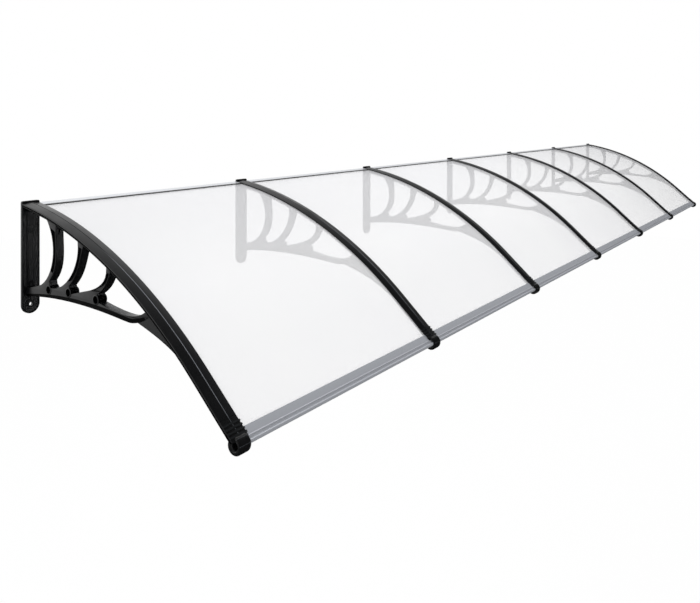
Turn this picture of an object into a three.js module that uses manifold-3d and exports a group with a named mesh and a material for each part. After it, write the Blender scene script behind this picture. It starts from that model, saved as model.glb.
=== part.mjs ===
// Door canopy of moulded brackets, clear sheets and aluminium rails, without its wall.
// Millimetres. X runs along the wall, Y points into the wall, Z is up.
// The origin is on the back face of the middle bracket's wall plate, halfway up it.

import * as THREE from 'three';
import { mergeVertices } from 'three/addons/utils/BufferGeometryUtils.js';
import Module from 'manifold-3d';

const wasm = await Module();
wasm.setup();

// The run
const bayCount = 6;
const bayWidth = 800;
const fitGap = 0.3;

// Wall plate
const plateHeight = 305;
const plateWidth = 50;
const plateThickness = 8;
const plateCorner = 5;
const plateRimWidth = 4;
const plateRecess = 2;
const plateRibWidth = 3;
const plateRibSpacing = 14;
const plateRibLength = 130;
const screwHoleDiameter = 10;
const screwPadDiameter = 19;
const upperHoleFromTop = 78;

// Roof line: an arc from the wall that runs out straight at the front
const roofRadius = 1306;
const roofSlopeAtWall = THREE.MathUtils.degToRad(8.2);
const roofSlopeAtFront = THREE.MathUtils.degToRad(41.8);
const ridgeBelowPlateTop = 2.7;
const roofSteps = 10;

// Rib of a bracket, seen from its end: roof-shaped cap, sheet slots and lower flange
const capWidth = 50;
const capRise = 3;
const capEdge = 3;
const flangeWidth = 46;
const flangeThickness = 3.4;
const slotWebWidth = 8;
const stiffenerDepth = 12;

// Sheets
const sheetThickness = 3;
const sheetInFrontRail = 16;

// Open frame under the rib
const frameWidth = 23;
const gussetWidth = 6;
const bossDiameter = 22;
const bossBore = 14;
const bossBoreDepth = 6;
const bossStandOut = 1.5;
const hollowWidth = 17;
const hollowWall = 5;

// Front end cap
const collarLength = 21;
const collarRibs = 4;
const collarRibPitch = 8;
const collarRibWidth = 3.4;
const collarRibHeight = 1.3;
const collarRibInset = 2;
const collarRibSunk = 1;
const barrelDiameter = 53.5;
const barrelWidth = 38;
const barrelRound = 14;
const barrelBelowSheet = 4.2;
const barrelFromRail = 21.2;
const hookWebWidth = 8;

// Front rail
const frontRailDepth = 783;
const railBand = 21;
const railSkin = 1.2;
const railRidge = 1.2;
const railGroove = 3.5;
const railBeadRadius = 8.5;
const railBeadFromEdge = 27.5;
const railBeadBelowSheet = 5;

// Rear rail
const rearRailBand = 26;
const rearRailLip = 14;
const rearRailSkin = 1.6;

const plastic = new THREE.MeshStandardMaterial({ color: 0x17191a, roughness: 0.5, metalness: 0 });
const capPlastic = new THREE.MeshStandardMaterial({ color: 0x141617, roughness: 0.55, metalness: 0 });
const aluminium = new THREE.MeshStandardMaterial({ color: 0xb4b8be, roughness: 0.4, metalness: 0.9 });
const polycarbonate = new THREE.MeshStandardMaterial({
  color: 0xf3f3f5, roughness: 0.15, metalness: 0, transparent: true, opacity: 0.4
});

// Places on the roof line. Its height n is measured from the top face of the sheets.

const ribEndDepth = frontRailDepth - collarLength;
const sheetTopRadius = roofRadius - capRise - capEdge - fitGap;
const roofCentreY = roofRadius * Math.sin(roofSlopeAtWall);
const roofCentreZ = plateHeight / 2 - ridgeBelowPlateTop - roofRadius * Math.cos(roofSlopeAtWall);
const arcEndY = roofCentreY - sheetTopRadius * Math.sin(roofSlopeAtFront);

// Slope of the roof line where the sheets' top face lies at y
function slopeAt(y) {
  const slope = Math.asin((roofCentreY - y) / sheetTopRadius);
  return Math.min(slope, roofSlopeAtFront);
}

// Point above or below the sheets' top face, square to the roof line, for the place y on that face
function roofPoint(y, n) {
  const slope = slopeAt(y);
  const out = Math.max(0, (arcEndY - y) / Math.cos(roofSlopeAtFront));
  return new THREE.Vector2(
    roofCentreY - (sheetTopRadius + n) * Math.sin(slope) - out * Math.cos(slope),
    roofCentreZ + (sheetTopRadius + n) * Math.cos(slope) - out * Math.sin(slope)
  );
}

// The arc is drawn with the same facets in every piece, so that gaps stay even along it
const arcPlaces = Array.from({ length: roofSteps + 1 }, (_, i) => {
  const slope = THREE.MathUtils.lerp(roofSlopeAtWall, roofSlopeAtFront, i / roofSteps);
  return roofCentreY - sheetTopRadius * Math.sin(slope);
});

// Places y from the wall towards the front, with the arc's facets between them
function roofPlaces(fromY, toY) {
  return [fromY, ...arcPlaces.filter((y) => y < fromY - 1 && y > toY + 1), toY];
}

// Frame at a place on the roof line: s runs forward along the slope, n stands square to it
function slopeFrame(y) {
  const slope = slopeAt(y);
  const foot = roofPoint(y, 0);
  return (s, n) => new THREE.Vector2(
    foot.x - s * Math.cos(slope) - n * Math.sin(slope),
    foot.y - s * Math.sin(slope) + n * Math.cos(slope)
  );
}

// Points of an arc, both ends included
function arcPoints(centreX, centreY, radius, fromDegrees, toDegrees, sides) {
  const points = [];
  for (let i = 0; i <= sides; i += 1) {
    const angle = THREE.MathUtils.degToRad(fromDegrees + (toDegrees - fromDegrees) * i / sides);
    points.push(new THREE.Vector2(centreX + radius * Math.cos(angle), centreY + radius * Math.sin(angle)));
  }
  return points;
}

// Solids

function toSolid(geometry) {
  const bare = geometry.clone();
  bare.deleteAttribute('normal');
  bare.deleteAttribute('uv');
  const merged = mergeVertices(bare, 1e-4);
  const mesh = new wasm.Mesh({
    numProp: 3,
    vertProperties: new Float32Array(merged.attributes.position.array),
    triVerts: new Uint32Array(merged.index.array)
  });
  return new wasm.Manifold(mesh);
}

function toGeometry(solid) {
  const mesh = solid.getMesh();
  const geometry = new THREE.BufferGeometry();
  geometry.setAttribute('position', new THREE.BufferAttribute(new Float32Array(mesh.vertProperties), 3));
  geometry.setIndex(new THREE.BufferAttribute(new Uint32Array(mesh.triVerts), 1));
  geometry.computeVertexNormals();
  return geometry;
}

function join(solids) {
  return solids.reduce((whole, solid) => whole.add(solid));
}

function cut(solid, tools) {
  return tools.reduce((rest, tool) => rest.subtract(tool), solid);
}

// Extrudes an outline drawn in (y, z) along X, centred on the given x
function acrossX(shape, width, centreX = 0, curveSegments = 5) {
  const geometry = new THREE.ExtrudeGeometry(shape, { depth: width, bevelEnabled: false, curveSegments });
  geometry.applyMatrix4(new THREE.Matrix4().makeBasis(
    new THREE.Vector3(0, 1, 0), new THREE.Vector3(0, 0, 1), new THREE.Vector3(1, 0, 0)
  ));
  geometry.translate(centreX - width / 2, 0, 0);
  return geometry;
}

// Extrudes an outline drawn in (x, z) from the wall, y = 0, towards the front
function fromWall(shape, depth, startDepth = 0) {
  const geometry = new THREE.ExtrudeGeometry(shape, { depth, bevelEnabled: false });
  geometry.rotateX(Math.PI / 2);
  geometry.translate(0, -startDepth, 0);
  return geometry;
}

// Sweeps a closed section of (x, n) points, counter-clockwise, along the roof line
function sweepRoof(section, fromY, toY) {
  const places = roofPlaces(fromY, toY);
  const positions = [];
  for (const y of places) {
    for (const [x, n] of section) {
      const point = roofPoint(y, n);
      positions.push(x, point.x, point.y);
    }
  }
  const size = section.length;
  const index = [];
  for (let ring = 0; ring < places.length - 1; ring += 1) {
    for (let i = 0; i < size; i += 1) {
      const a = ring * size + i;
      const b = ring * size + (i + 1) % size;
      index.push(a, b, b + size, a, b + size, a + size);
    }
  }
  const outline = section.map(([x, n]) => new THREE.Vector2(x, n));
  const lastRing = (places.length - 1) * size;
  for (const [a, b, c] of THREE.ShapeUtils.triangulateShape(outline, [])) {
    index.push(a, c, b, lastRing + a, lastRing + b, lastRing + c);
  }
  const geometry = new THREE.BufferGeometry();
  geometry.setAttribute('position', new THREE.Float32BufferAttribute(positions, 3));
  geometry.setIndex(index);
  return geometry;
}

function cylinderAlongX(radius, width, y, z, x = 0, sides = 8) {
  const geometry = new THREE.CylinderGeometry(radius, radius, width, sides);
  geometry.rotateZ(Math.PI / 2);
  geometry.translate(x, y, z);
  return geometry;
}

function cylinderAlongY(radius, depth, z, sides = 10) {
  const geometry = new THREE.CylinderGeometry(radius, radius, depth, sides);
  geometry.translate(0, 0, z);
  return geometry;
}

// Rib section

const capBottom = fitGap;
const capSide = capBottom + capEdge;
const capRidge = capSide + capRise;
const flangeTop = -sheetThickness - fitGap;
const flangeBottom = flangeTop - flangeThickness;

const ribSection = [
  [-capWidth / 2, capBottom],
  [-slotWebWidth / 2, capBottom],
  [-slotWebWidth / 2, flangeTop],
  [-flangeWidth / 2, flangeTop],
  [-flangeWidth / 2, flangeBottom],
  [-slotWebWidth / 2, flangeBottom],
  [-slotWebWidth / 2, flangeBottom - stiffenerDepth],
  [slotWebWidth / 2, flangeBottom - stiffenerDepth],
  [slotWebWidth / 2, flangeBottom],
  [flangeWidth / 2, flangeBottom],
  [flangeWidth / 2, flangeTop],
  [slotWebWidth / 2, flangeTop],
  [slotWebWidth / 2, capBottom],
  [capWidth / 2, capBottom],
  [capWidth / 2, capSide],
  [0, capRidge],
  [-capWidth / 2, capSide]
];

// Wall plate of a bracket

const lowerHoleZ = -plateHeight / 2 + plateWidth / 2;
const upperHoleZ = plateHeight / 2 - upperHoleFromTop;

function plateOutline(inset) {
  const half = plateWidth / 2 - inset;
  const top = plateHeight / 2 - inset;
  const corner = plateCorner - inset / 2;
  return new THREE.Shape([
    ...arcPoints(half - corner, top - corner, corner, 0, 90, 2),
    ...arcPoints(-half + corner, top - corner, corner, 90, 180, 2),
    ...arcPoints(0, lowerHoleZ, half, 180, 360, 10)
  ]);
}

function makePlate() {
  const body = toSolid(fromWall(plateOutline(0), plateThickness));
  const floorDepth = plateThickness - plateRecess;
  const recess = toSolid(fromWall(plateOutline(plateRimWidth), plateThickness, floorDepth));
  const kept = [];
  for (const z of [upperHoleZ, lowerHoleZ]) {
    kept.push(toSolid(cylinderAlongY(screwPadDiameter / 2, 2 * plateThickness, z)));
  }
  for (const side of [-1, 1]) {
    const rib = new THREE.BoxGeometry(plateRibWidth, 2 * plateThickness, plateRibLength);
    rib.translate(side * plateRibSpacing / 2, 0, 0);
    kept.push(toSolid(rib));
  }
  const holes = [upperHoleZ, lowerHoleZ].map(
    (z) => toSolid(cylinderAlongY(screwHoleDiameter / 2, 4 * plateThickness, z))
  );
  return cut(body, [cut(recess, kept), ...holes]);
}

// Open frame of a bracket, drawn in (y, z). Its heights are given as drops below the sheets' top
// face, so the struts and the arm follow the roof line.

const armFootY = -plateThickness / 2;
const armFootDrop = 248.3;
const armEndY = -533;
const armTurn = [[-510, 35.2], [-485, 69.5], [-450, 90.5]];
const armUnderside = [[-330, 137], [-160, 190], [armFootY, armFootDrop]];
const gussetStart = [-466, 78];
const gussetUnderside = [[-542, 51], [-598, 29], [-650, 27]];
const gussetBackY = -500;
const gussetEdgeY = -640;
const inFlange = flangeBottom + flangeThickness / 2;

function below(y, drop) {
  return [y, roofPoint(y, 0).y - drop];
}

// Adds a curve from where the outline stands, given by two control points and its end
function curveBelow(shape, points) {
  shape.bezierCurveTo(...points.flatMap(([y, drop]) => below(y, drop)));
}

function frameOutline() {
  const shape = new THREE.Shape();
  shape.moveTo(...below(armFootY, armFootDrop));
  for (const y of roofPlaces(armFootY, armEndY)) {
    const point = roofPoint(y, inFlange);
    shape.lineTo(point.x, point.y);
  }
  curveBelow(shape, armTurn);
  curveBelow(shape, armUnderside);
  return shape;
}

// Each opening runs along the rib from its rear corner to its front corner, down the bowed strut
// in front of it to the arm, and up the front face of the strut behind it.
const openings = [
  {
    rear: -plateThickness, front: -95,
    strut: [[-166, 58.8], [-128, 167.2], [-65, 200.5]],
    foot: [-plateThickness, 224.5],
    back: null
  },
  {
    rear: -150, front: -241,
    strut: [[-263, 61.7], [-192, 171], [-119, 186.5]],
    foot: [-116, 170],
    back: [[-170.5, 104], [-135.6, 55.4]]
  },
  {
    rear: -276, front: -361,
    strut: [[-380, 67.3], [-274, 122.7], [-214, 162]],
    foot: [-205, 146],
    back: [[-256.3, 87.5], [-252.4, 37.1]]
  },
  {
    rear: -384, front: -517,
    strut: [[-486, 54], [-458, 80.5], [-330, 121.5]],
    foot: [-325, 105],
    back: [[-360, 69], [-370.4, 44.3]]
  }
];

function openingOutline({ rear, front, strut, foot, back }) {
  const start = roofPoint(rear, flangeTop);
  const end = roofPoint(front, flangeTop);
  const shape = new THREE.Shape();
  shape.moveTo(start.x, start.y);
  shape.lineTo(end.x, end.y);
  curveBelow(shape, strut);
  shape.lineTo(...below(...foot));
  if (back) {
    shape.bezierCurveTo(...back.flatMap(([y, drop]) => below(y, drop)), start.x, start.y);
  } else {
    shape.lineTo(start.x, start.y);
  }
  return shape;
}

// Three-cornered hollows in the front faces, where the struts spread out under the rib
const hollows = [
  { rear: -95, front: -168, tip: [-141, 42] },
  { rear: -241, front: -293, tip: [-255, 32] },
  { rear: -361, front: -401, tip: [-376, 22] }
];

function makeHollow({ rear, front, tip }) {
  const start = roofPoint(rear - hollowWall, flangeBottom);
  const end = roofPoint(front, flangeBottom);
  const [tipY, tipZ] = below(...tip);
  const side = new THREE.Shape([
    start, end, new THREE.Vector2(end.x, tipZ), new THREE.Vector2(tipY, tipZ)
  ]);
  const face = new THREE.Shape([
    new THREE.Vector2(-hollowWidth / 2, start.y),
    new THREE.Vector2(0, tipZ),
    new THREE.Vector2(hollowWidth / 2, start.y)
  ]);
  const depth = rear - front;
  return toSolid(acrossX(side, hollowWidth)).intersect(toSolid(fromWall(face, depth, -rear)));
}

const bosses = [[-113, 194], [-203, 163.2], [-320, 120.2]];

function gussetOutline() {
  const shape = new THREE.Shape();
  shape.moveTo(...below(...gussetStart));
  curveBelow(shape, gussetUnderside);
  for (const y of [gussetEdgeY, gussetBackY]) {
    const edge = roofPoint(y, inFlange);
    shape.lineTo(edge.x, edge.y);
  }
  return shape;
}

function makeFrame() {
  const body = toSolid(acrossX(frameOutline(), frameWidth, 0, 6));
  const tools = openings.map((opening) => toSolid(acrossX(openingOutline(opening), 2 * frameWidth)));
  tools.push(...hollows.map(makeHollow));
  const rings = [];
  const bores = [];
  for (const [y, z] of bosses.map((boss) => below(...boss))) {
    rings.push(toSolid(cylinderAlongX(bossDiameter / 2, frameWidth + 2 * bossStandOut, y, z)));
    for (const side of [-1, 1]) {
      const x = side * (frameWidth / 2 + bossStandOut);
      bores.push(toSolid(cylinderAlongX(bossBore / 2, 2 * bossBoreDepth, y, z, x)));
    }
  }
  const gusset = toSolid(acrossX(gussetOutline(), gussetWidth));
  return cut(join([cut(body, tools), gusset, ...rings]), bores);
}

function makeBracket() {
  const rib = toSolid(sweepRoof(ribSection, -plateThickness / 2, -ribEndDepth));
  return toGeometry(join([makePlate(), makeFrame(), rib]));
}

// Front rail, drawn in the slope frame at its upper edge

const railFrame = slopeFrame(-frontRailDepth);
const bandTop = fitGap + railSkin;
const bandBottom = -sheetThickness - fitGap - railSkin;

function frontRailOutline() {
  const bead = { s: railBeadFromEdge, n: -railBeadBelowSheet, r: railBeadRadius };
  const channelEnd = sheetInFrontRail + fitGap;
  const corners = [
    [0, fitGap],
    [channelEnd, fitGap],
    [channelEnd, -sheetThickness - fitGap],
    [railSkin, -sheetThickness - fitGap],
    [railSkin, bandBottom],
    [railBand - railSkin, bandBottom]
  ];
  const shape = new THREE.Shape(corners.map(([s, n]) => railFrame(s, n)));
  for (let i = 0; i <= 10; i += 1) {
    const angle = THREE.MathUtils.degToRad(200 + 22 * i);
    const point = railFrame(bead.s + bead.r * Math.cos(angle), bead.n + bead.r * Math.sin(angle));
    shape.lineTo(point.x, point.y);
  }
  const groove = [
    [bead.s + railSkin, bandTop - railSkin],
    [bead.s - railGroove, bandTop - railSkin],
    [railBand + railRidge / 2, bandTop + railRidge],
    [railBand - railRidge, bandTop],
    [0, bandTop]
  ];
  for (const [s, n] of groove) {
    const point = railFrame(s, n);
    shape.lineTo(point.x, point.y);
  }
  return shape;
}

// Front end cap of a bracket: a collar that goes on as the rib does, and a barrel round the rails

// Room for the sheets and the rails in the end cap, stepped, drawn in the slope frame
function railRoom() {
  const corners = [
    [-barrelDiameter / 4, fitGap],
    [-barrelDiameter / 4, -sheetThickness - fitGap],
    [-fitGap, -sheetThickness - fitGap],
    [-fitGap, bandBottom - fitGap],
    [railBeadFromEdge, bandBottom - fitGap],
    [railBeadFromEdge, bandTop + railRidge + fitGap],
    [railBand - railSkin - fitGap, bandTop + railRidge + fitGap],
    [railBand - railSkin - fitGap, bandTop + fitGap],
    [-fitGap, bandTop + fitGap],
    [-fitGap, fitGap]
  ];
  return new THREE.Shape(corners.map(([s, n]) => railFrame(s, n)));
}

function makeEndCap() {
  const collarStart = -ribEndDepth - fitGap;
  const collarEnd = railFrame(barrelFromRail - barrelDiameter / 4, 0).x;
  const collar = toSolid(sweepRoof(ribSection, collarStart, collarEnd));
  const centre = railFrame(barrelFromRail, -barrelBelowSheet);
  const flat = barrelWidth / 2 - barrelRound;
  const shoulder = barrelDiameter / 2 - barrelRound;
  const profile = [
    new THREE.Vector2(0, -barrelWidth / 2),
    ...arcPoints(shoulder, -flat, barrelRound, -90, 0, 2),
    ...arcPoints(shoulder, flat, barrelRound, 0, 90, 2),
    new THREE.Vector2(0, barrelWidth / 2)
  ].filter((point, i, all) => i === 0 || point.distanceTo(all[i - 1]) > fitGap);
  const barrel = new THREE.LatheGeometry(profile, 12);
  barrel.rotateZ(Math.PI / 2);
  barrel.translate(0, centre.x, centre.y);

  const ribs = [];
  const halfWidth = capWidth / 2 - collarRibInset;
  const lastRib = collarEnd + collarRibWidth;
  for (let i = 0; i < collarRibs; i += 1) {
    const y = lastRib + i * collarRibPitch * Math.cos(roofSlopeAtFront);
    const section = [
      [-halfWidth, capSide - collarRibSunk],
      [halfWidth, capSide - collarRibSunk],
      [halfWidth, capSide + collarRibHeight],
      [0, capRidge + collarRibHeight],
      [-halfWidth, capSide + collarRibHeight]
    ];
    ribs.push(toSolid(sweepRoof(section, y, y - collarRibWidth * Math.cos(roofSlopeAtFront))));
  }

  const bead = railFrame(railBeadFromEdge, -railBeadBelowSheet);
  const rooms = [];
  for (const side of [-1, 1]) {
    const centreX = side * (hookWebWidth / 2 + barrelWidth);
    rooms.push(toSolid(acrossX(railRoom(), 2 * barrelWidth, centreX)));
    rooms.push(toSolid(cylinderAlongX(railBeadRadius + fitGap, 2 * barrelWidth, bead.x, bead.y, centreX, 12)));
  }
  return toGeometry(cut(join([collar, toSolid(barrel), ...ribs]), rooms));
}

// Sheet of one bay, between the slots of two brackets

function sheetOutline() {
  const rear = -plateThickness - fitGap - sheetThickness * Math.sin(roofSlopeAtWall);
  const front = railFrame(sheetInFrontRail, 0).x;
  const places = roofPlaces(rear, front);
  const top = places.map((y) => roofPoint(y, 0));
  const under = places.map((y) => roofPoint(y, -sheetThickness)).reverse();
  return new THREE.Shape([...under, ...top]);
}

// Rear rail, a channel over the sheet's rear edge

function rearRailOutline() {
  const back = -fitGap;
  const inner = back - rearRailSkin;
  const under = -sheetThickness - fitGap;
  const corners = [
    roofPoint(back, under - rearRailSkin),
    roofPoint(back, fitGap + rearRailSkin),
    roofPoint(-rearRailBand, fitGap + rearRailSkin),
    roofPoint(-rearRailBand, fitGap),
    roofPoint(inner, fitGap),
    roofPoint(inner, under),
    roofPoint(-rearRailLip, under),
    roofPoint(-rearRailLip, under - rearRailSkin)
  ];
  return new THREE.Shape(corners.reverse());
}

// The run: brackets with their end caps, and a sheet with two rails in each bay

const canopy = new THREE.Group();

function addMesh(name, geometry, material, x) {
  const mesh = new THREE.Mesh(geometry, material);
  mesh.name = name;
  mesh.position.x = x;
  canopy.add(mesh);
}

const bracketGeometry = makeBracket();
const endCapGeometry = makeEndCap();
for (let i = 0; i <= bayCount; i += 1) {
  const x = (i - bayCount / 2) * bayWidth;
  addMesh(`bracket_${i + 1}`, bracketGeometry, plastic, x);
  addMesh(`end_cap_${i + 1}`, endCapGeometry, capPlastic, x);
}

const sheetWidth = bayWidth - slotWebWidth - 2 * fitGap;
const frontRailLength = bayWidth - hookWebWidth - 2 * fitGap;
const rearRailLength = bayWidth - Math.max(capWidth, plateWidth) - 2 * fitGap;
const sheetGeometry = acrossX(sheetOutline(), sheetWidth);
const frontRailGeometry = acrossX(frontRailOutline(), frontRailLength);
const rearRailGeometry = acrossX(rearRailOutline(), rearRailLength);
for (let i = 0; i < bayCount; i += 1) {
  const x = (i + 0.5 - bayCount / 2) * bayWidth;
  addMesh(`sheet_${i + 1}`, sheetGeometry, polycarbonate, x);
  addMesh(`front_rail_${i + 1}`, frontRailGeometry, aluminium, x);
  addMesh(`rear_rail_${i + 1}`, rearRailGeometry, aluminium, x);
}

export default canopy;
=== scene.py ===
# Door canopy: seven black brackets with end caps, six sheets, and the aluminium rails at both edges.
# Metres. X runs along the wall, Y points into the wall, Z is up.
import math

import bmesh
import bpy
from mathutils import Matrix, Vector


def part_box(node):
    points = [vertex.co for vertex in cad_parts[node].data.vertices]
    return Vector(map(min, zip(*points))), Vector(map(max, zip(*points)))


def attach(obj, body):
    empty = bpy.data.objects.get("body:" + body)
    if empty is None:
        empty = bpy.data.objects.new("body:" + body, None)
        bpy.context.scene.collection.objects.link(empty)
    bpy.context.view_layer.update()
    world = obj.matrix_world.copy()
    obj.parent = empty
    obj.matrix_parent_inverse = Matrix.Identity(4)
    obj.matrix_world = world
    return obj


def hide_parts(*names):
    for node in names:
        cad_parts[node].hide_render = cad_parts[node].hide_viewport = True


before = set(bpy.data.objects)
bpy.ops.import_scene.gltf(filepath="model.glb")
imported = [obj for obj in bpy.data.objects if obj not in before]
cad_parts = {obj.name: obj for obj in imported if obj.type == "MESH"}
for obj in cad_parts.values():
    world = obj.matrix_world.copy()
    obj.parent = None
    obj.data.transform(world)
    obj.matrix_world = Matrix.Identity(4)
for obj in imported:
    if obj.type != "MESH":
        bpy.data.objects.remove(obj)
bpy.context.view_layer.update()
print("frame loaded:", len(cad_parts), "nodes")

mm = 0.001
bays = 6
bayWidth = 0.8
fitGap = 0.3 * mm

roof = {
    "radius": 1306 * mm,         # of the caps' ridge
    "slopeAtWall": math.radians(8.2),
    "slopeAtFront": math.radians(41.8),
    "plateTop": 152.5 * mm,
    "ridgeBelowPlateTop": 2.7 * mm,
    "capRise": 3 * mm,
    "capEdge": 3 * mm,
    "sheet": 3 * mm,
    "sheetEdge": 0.2 * mm,
    "railDepth": 783 * mm,
    "ribEnd": 762 * mm,
    "steps": 56,                 # of the arc
}
sheetTop = roof["radius"] - roof["capRise"] - roof["capEdge"] - fitGap
centreY = roof["radius"] * math.sin(roof["slopeAtWall"])
centreZ = roof["plateTop"] - roof["ridgeBelowPlateTop"] - roof["radius"] * math.cos(roof["slopeAtWall"])
arcEndY = centreY - sheetTop * math.sin(roof["slopeAtFront"])


def slopeAt(y):
    return min(math.asin((centreY - y) / sheetTop), roof["slopeAtFront"])


def roofPoint(y, n=0.0):
    # the place y on the sheets' top face, moved n square to it
    slope = slopeAt(y)
    out = max(0.0, (arcEndY - y) / math.cos(roof["slopeAtFront"]))
    return (centreY - (sheetTop + n) * math.sin(slope) - out * math.cos(slope),
            centreZ + (sheetTop + n) * math.cos(slope) - out * math.sin(slope))


def slopeFrame(y):
    # s runs forward down the slope, n stands square to it
    slope = slopeAt(y)
    footY, footZ = roofPoint(y)
    return lambda s, n: (footY - s * math.cos(slope) - n * math.sin(slope),
                         footZ - s * math.sin(slope) + n * math.cos(slope))


# Camera and studio

camera = {
    "place": (-3.4229, -1.8237, 0.3821),
    "azimuth": -53.89,    # degrees, the canopy is seen from its left end
    "lens": 36.0,
    "sensor": 36.0,
    "shiftY": -0.2653,    # the photograph's horizon lies well above its middle
}
studio = {
    "ambient": 0.93,      # on matt surfaces
    "backdrop": 1.2,      # seen in gloss towards the wall
    "front": 0.02,        # seen in gloss towards the camera's side and the ground
    "frontEdges": (-0.25, 0.95),    # direction y from dark to bright
    "groundEdges": (-0.45, -0.1),    # direction z from dark to bright
    "floorDrop": 2.1,
    "floorHalf": 12,
    "floorSeen": 0.96,    # share of its own light that the camera sees
    "lampPower": 60.0,
    "lampSize": 1.4,
    "lampPlace": (0.4, 1.0, 3.2),
    "lampAim": (-2, -0.4, 0),
}


def makeCamera():
    data = bpy.data.cameras.new("camera")
    data.lens = camera["lens"]
    data.sensor_width = camera["sensor"]
    data.sensor_fit = "HORIZONTAL"
    data.shift_y = camera["shiftY"]
    data.clip_end = 100
    obj = bpy.data.objects.new("camera", data)
    bpy.context.scene.collection.objects.link(obj)
    obj.location = camera["place"]
    obj.rotation_euler = (math.radians(90), 0, math.radians(camera["azimuth"]))
    bpy.context.scene.camera = obj


def linear(hexColour):
    # sRGB hex to linear RGBA
    parts = [int(hexColour[i:i + 2], 16) / 255 for i in (1, 3, 5)]
    return tuple(c / 12.92 if c <= 0.04045 else ((c + 0.055) / 1.055) ** 2.4 for c in parts) + (1.0,)


def addNode(tree, kind, settings=None, links=None):
    # one node: its settings are attributes or sockets, its links are socket: source socket
    node = tree.nodes.new(kind)
    for key, value in (settings or {}).items():
        if isinstance(key, str) and hasattr(node, key):
            setattr(node, key, value)
        else:
            node.inputs[key].default_value = value
    for key, source in (links or {}).items():
        tree.links.new(source, node.inputs[key])
    return node


def makeWorld():
    world = bpy.data.worlds.new("studio")
    bpy.context.scene.world = world
    world.use_nodes = True
    tree = world.node_tree
    tree.nodes.clear()
    rays = addNode(tree, "ShaderNodeLightPath")
    place = addNode(tree, "ShaderNodeTexCoord")
    parts = addNode(tree, "ShaderNodeSeparateXYZ", links={0: place.outputs["Generated"]})
    sides = []
    for axis, edges in (("Y", studio["frontEdges"]), ("Z", studio["groundEdges"])):
        sides.append(addNode(tree, "ShaderNodeMapRange", {
            "interpolation_type": "SMOOTHSTEP", "From Min": edges[0], "From Max": edges[1],
        }, {"Value": parts.outputs[axis]}))
    both = addNode(tree, "ShaderNodeMath", {"operation": "MULTIPLY"},
                   {0: sides[0].outputs[0], 1: sides[1].outputs[0]})
    gloss = addNode(tree, "ShaderNodeMapRange", {"To Min": studio["front"], "To Max": studio["backdrop"]},
                    {"Value": both.outputs[0]})
    shiny = addNode(tree, "ShaderNodeMath", {"operation": "MAXIMUM"},
                    {0: rays.outputs["Is Glossy Ray"], 1: rays.outputs["Is Transmission Ray"]})
    matt = addNode(tree, "ShaderNodeMix", {"data_type": "FLOAT", 2: studio["ambient"]},
                   {0: shiny.outputs[0], 3: gloss.outputs[0]})
    level = addNode(tree, "ShaderNodeMix", {"data_type": "FLOAT", 3: 1.0},
                    {0: rays.outputs["Is Camera Ray"], 2: matt.outputs[0]})
    back = addNode(tree, "ShaderNodeBackground", {"Color": (1, 1, 1, 1)}, {"Strength": level.outputs[0]})
    addNode(tree, "ShaderNodeOutputWorld", links={"Surface": back.outputs[0]})


def makeStudio():
    bm = bmesh.new()
    bmesh.ops.create_grid(bm, x_segments=1, y_segments=1, size=studio["floorHalf"])
    bmesh.ops.translate(bm, verts=bm.verts, vec=(0, 0, -studio["floorDrop"]))
    mesh = bpy.data.meshes.new("floor")
    bm.to_mesh(mesh)
    bm.free()
    floor = bpy.data.objects.new("floor", mesh)
    bpy.context.scene.collection.objects.link(floor)
    material = bpy.data.materials.new("pale studio floor")
    material.use_nodes = True
    tree = material.node_tree
    tree.nodes.clear()
    rays = addNode(tree, "ShaderNodeLightPath")
    matt = addNode(tree, "ShaderNodeBsdfDiffuse", {"Color": linear("#f4f4f4")})
    glow = addNode(tree, "ShaderNodeEmission", {"Color": (1, 1, 1, 1), "Strength": 1.0})
    seen = addNode(tree, "ShaderNodeMath", {"operation": "MULTIPLY", 1: studio["floorSeen"]},
                   {0: rays.outputs["Is Camera Ray"]})
    both = addNode(tree, "ShaderNodeMixShader",
                   links={0: seen.outputs[0], 1: matt.outputs[0], 2: glow.outputs[0]})
    addNode(tree, "ShaderNodeOutputMaterial", links={"Surface": both.outputs[0]})
    mesh.materials.append(material)
    floor.visible_glossy = False
    lamp = bpy.data.lights.new("softbox", "AREA")
    lamp.shape = "DISK"
    lamp.size = studio["lampSize"]
    lamp.energy = studio["lampPower"]
    obj = bpy.data.objects.new("softbox", lamp)
    bpy.context.scene.collection.objects.link(obj)
    obj.location = studio["lampPlace"]
    aim = Vector(studio["lampAim"]) - Vector(obj.location)
    obj.rotation_euler = aim.to_track_quat("-Z", "Y").to_euler()
    obj.visible_glossy = False


makeCamera()
makeWorld()
makeStudio()
bpy.context.scene.view_settings.view_transform = "Standard"
print("camera and studio made")


# Materials

def startMaterial(name):
    material = bpy.data.materials.new(name)
    material.use_nodes = True
    tree = material.node_tree
    return material, tree, tree.nodes["Principled BSDF"]


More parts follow.
